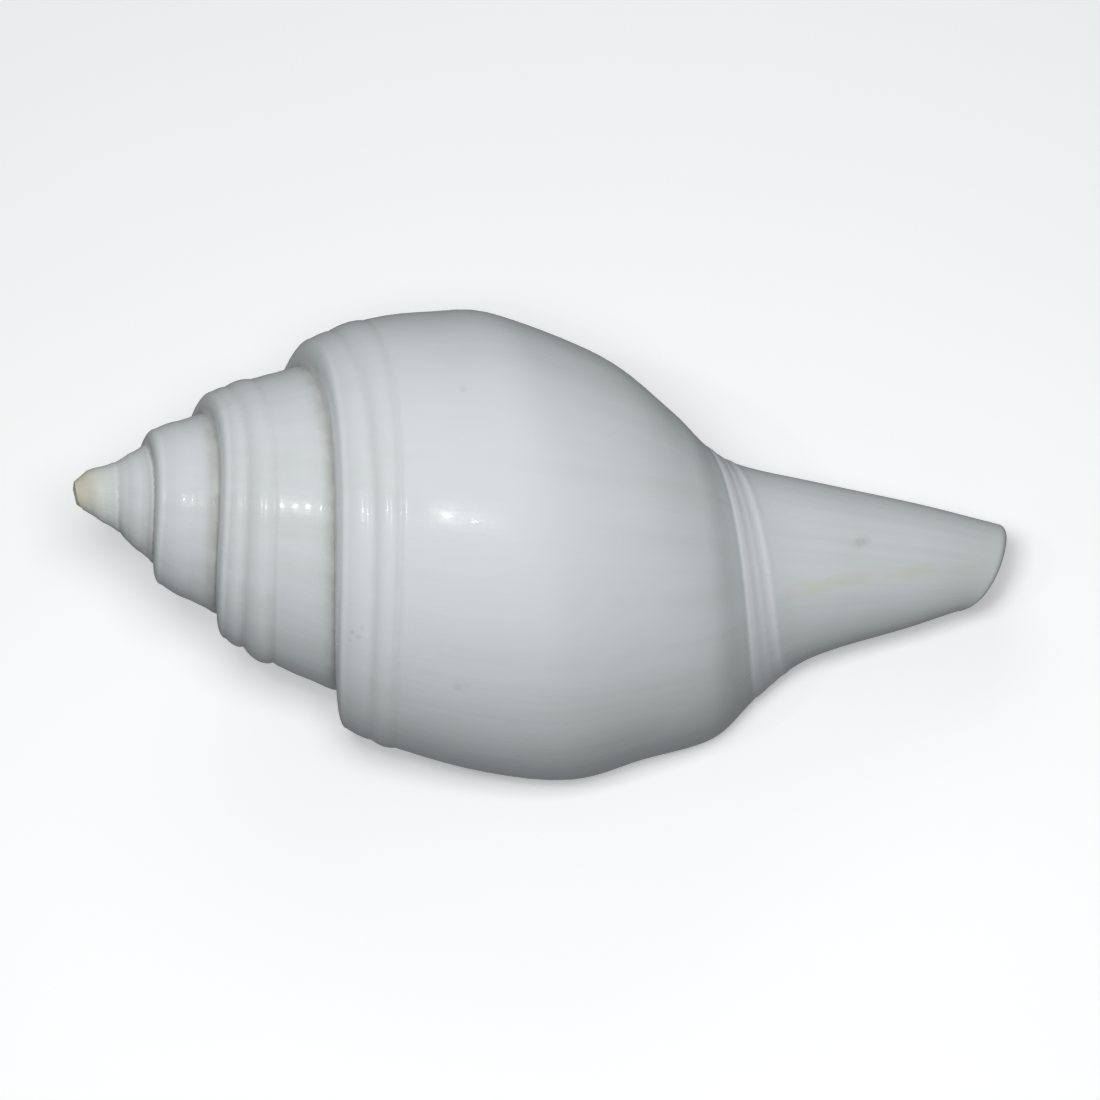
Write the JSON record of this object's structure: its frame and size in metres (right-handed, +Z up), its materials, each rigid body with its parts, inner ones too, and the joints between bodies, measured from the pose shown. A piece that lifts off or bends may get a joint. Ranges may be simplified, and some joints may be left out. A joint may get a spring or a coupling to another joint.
{
  "type": "conch shell",
  "caption": "Spiral sea shell with a stepped spire, a round body whorl and a long tapering canal, lying on its open aperture; an ornament and ritual water vessel.",
  "frame": {"origin": "centre of the bounding box's base, on the surface the shell lies on", "axes": "+X along the shell from the spire to the canal's tip, +Z up with the aperture below, -Y towards the side of the outer lip"},
  "size_m": [0.124, 0.0602, 0.0525],
  "materials": {
    "shell": "gloss"
  },
  "bodies": {
    "root": {"shell": "shell"}
  },
  "joints": []
}
